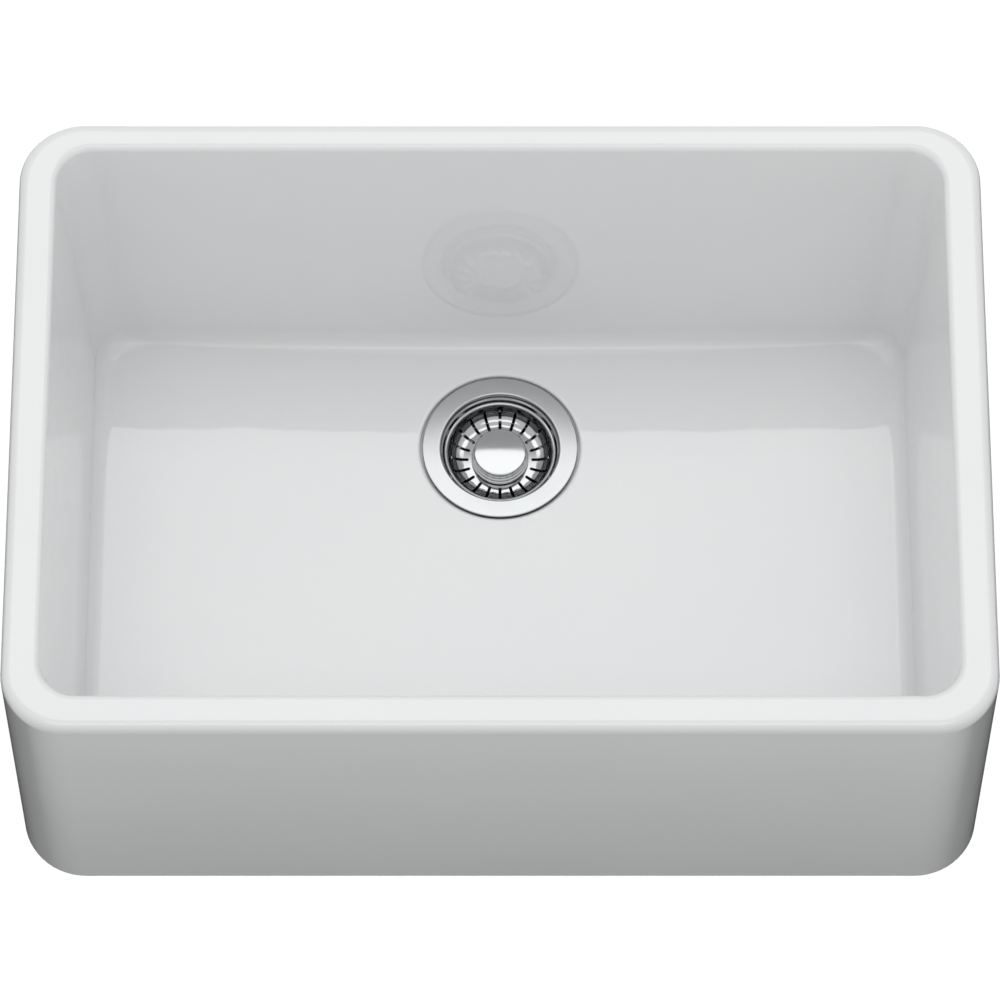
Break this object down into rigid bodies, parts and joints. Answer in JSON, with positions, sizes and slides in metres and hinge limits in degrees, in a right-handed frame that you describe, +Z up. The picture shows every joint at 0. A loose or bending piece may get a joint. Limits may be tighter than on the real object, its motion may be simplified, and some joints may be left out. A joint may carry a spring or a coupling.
{
  "type": "farmhouse apron front sink",
  "caption": "Single-bowl white fireclay sink with a plain apron front, softly rounded rim, and a steel basket strainer waste whose basket lifts out by its knob.",
  "frame": {"origin": "middle of the basin's flat underside", "axes": "+Z up out of the bowl, -Y out of the apron front, +X to the right of someone standing at the apron"},
  "size_m": [0.686, 0.477, 0.3951],
  "materials": {
    "fireclay": "white gloss glaze over fireclay",
    "polished_steel": "polished stainless steel",
    "plain_steel": "stainless steel as turned or stamped",
    "zinc": "dull cast zinc",
    "brass": "turned brass",
    "plated_brass": "bright chrome plate over brass",
    "black_rubber": "black moulded rubber",
    "fibre": "brown pressed fibre board",
    "white_plastic": "white moulded plastic"
  },
  "bodies": {
    "sink": {"basin": "fireclay", "strainer_body": "polished_steel", "crossbar": "polished_steel", "flange_gasket": "black_rubber", "body_washer": "black_rubber", "friction_ring": "fibre", "lock_nut": "zinc", "outlet_nipple": "brass", "tailpiece_washer": "white_plastic", "coupling_nut": "plated_brass", "tailpiece": "plated_brass"},
    "stopper_set": {"basket_post": "plain_steel", "knob_cap": "polished_steel", "knob_neck": "polished_steel", "backing_washer": "plain_steel", "stopper": "black_rubber", "retaining_washer": "plain_steel", "post_clip": "plain_steel", "post_ring": "black_rubber"},
    "basket": {"basket_shell": "polished_steel", "neck_washer": "white_plastic"}
  },
  "joints": [
    {"name": "basket_lift", "type": "slide", "parent": "sink", "child": "stopper_set", "axis": [0, 0, 1], "range_m": [0, 0.28]},
    {"name": "basket_turn", "type": "hinge", "parent": "stopper_set", "child": "basket", "pos_m": [0, 0.093, 0.03], "axis": [0, 0, 1], "continuous": true}
  ]
}
